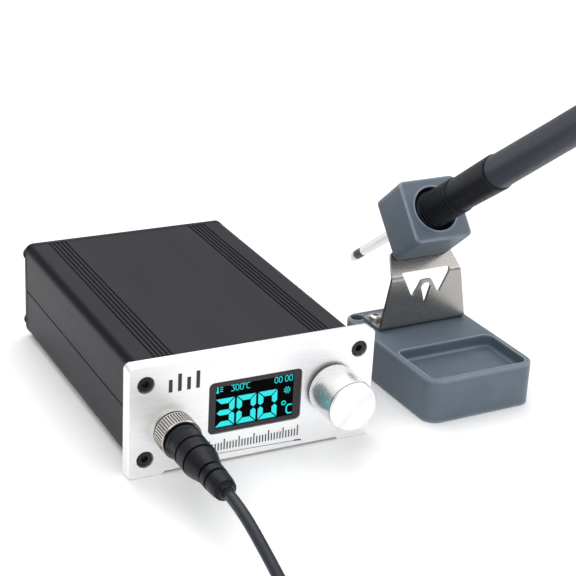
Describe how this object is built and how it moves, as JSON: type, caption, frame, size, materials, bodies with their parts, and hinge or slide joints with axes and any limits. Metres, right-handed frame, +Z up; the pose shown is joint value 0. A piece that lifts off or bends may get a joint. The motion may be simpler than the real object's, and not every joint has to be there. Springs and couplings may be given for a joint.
{
  "type": "soldering iron station",
  "caption": "Bench soldering station: a boxy control unit with display, knob and round connector, and a weighted stand with an angled holder carrying the iron.",
  "frame": {"origin": "on the floor under the middle of the unit, stand and iron together", "axes": "+Z up, -Y towards the front of the control unit, +X to its right, where the stand is"},
  "size_m": [0.1674, 0.2884, 0.1545],
  "materials": {
    "case_black": "black anodised, satin",
    "panel_aluminium": "brushed along its width, clear anodised",
    "panel_black": "black anodised, satin",
    "screw_black": "black oxide",
    "frame_grey": "fine matt",
    "display_black": "glossy, cyan figures lit",
    "board_green": "solder mask",
    "capacitor_sleeve": "shrink sleeve",
    "chip_black": "moulded",
    "encoder_metal": "zinc plated",
    "nickel": "nickel plated",
    "insert_black": "moulded",
    "ring_nickel": "nickel plated, straight knurl",
    "boot_black": "moulded, soft matt",
    "stand_grey": "matt blue-grey",
    "bracket_steel": "brushed along its width",
    "screw_steel": "polished",
    "cord_black": "silicone jacket, semi-matt",
    "knob_aluminium": "turned face, polished side",
    "core_black": "moulded",
    "grip_black": "ribbed, matt",
    "handle_blue": "fine matt",
    "tip_plated": "plated and oxidised, bright tinned end",
    "barrel_steel": "polished stainless"
  },
  "bodies": {
    "station": {"case_top": "case_black", "case_bottom": "case_black", "front_panel": "panel_aluminium", "rear_panel": "panel_black", "front_screws": "screw_black", "rear_screws": "screw_black", "display_frame": "frame_grey", "display_glass": "display_black", "display_board": "board_green", "main_board": "board_green", "capacitors": "capacitor_sleeve", "power_chips": "chip_black", "choke": "chip_black", "buzzer": "chip_black", "encoder_body": "encoder_metal", "encoder_nut": "encoder_metal", "socket_shell": "nickel", "socket_pins": "insert_black", "socket_nut": "nickel", "plug_core": "nickel", "plug_boot": "boot_black", "power_inlet": "insert_black", "inlet_nut": "nickel", "stand_base": "stand_grey", "iron_bracket": "bracket_steel", "bracket_screws": "screw_steel", "iron_holder": "stand_grey", "holder_screws": "screw_steel", "iron_cord": "cord_black", "cord_run": "cord_black", "cord_coil": "cord_black"},
    "push": {"encoder_plunger": "insert_black"},
    "knob": {"knob": "knob_aluminium", "encoder_shaft": "encoder_metal"},
    "ring": {"plug_ring": "ring_nickel"},
    "iron": {"nose_collar": "core_black", "handle_core": "core_black", "grip": "grip_black", "handle_tube": "handle_blue", "contact_block": "core_black", "tail_cap": "handle_blue", "strain_relief": "boot_black", "cord_tail": "cord_black"},
    "cartridge": {"tip_point": "tip_plated", "tip_barrel": "barrel_steel"}
  },
  "joints": [
    {"name": "knob_press", "type": "slide", "parent": "station", "child": "push", "axis": [0, 1, 0], "range_m": [0, 0.0005], "stiffness_N_per_m": 2000, "springref_m": -0.0008},
    {"name": "knob_turn", "type": "hinge", "parent": "push", "child": "knob", "pos_m": [-0.00589, -0.04583, 0.0225], "axis": [0, -1, 0], "continuous": true},
    {"name": "ring_turn", "type": "hinge", "parent": "station", "child": "ring", "pos_m": [-0.06759, -0.04223, 0.0174], "axis": [0, -1, 0], "continuous": true},
    {"name": "iron_lift", "type": "slide", "parent": "station", "child": "iron", "axis": [0.0212, -0.8077, 0.5892], "range_m": [0, 0.08]},
    {"name": "cartridge_pull", "type": "slide", "parent": "iron", "child": "cartridge", "axis": [-0.0212, 0.8077, -0.5892], "range_m": [0, 0.03]}
  ]
}
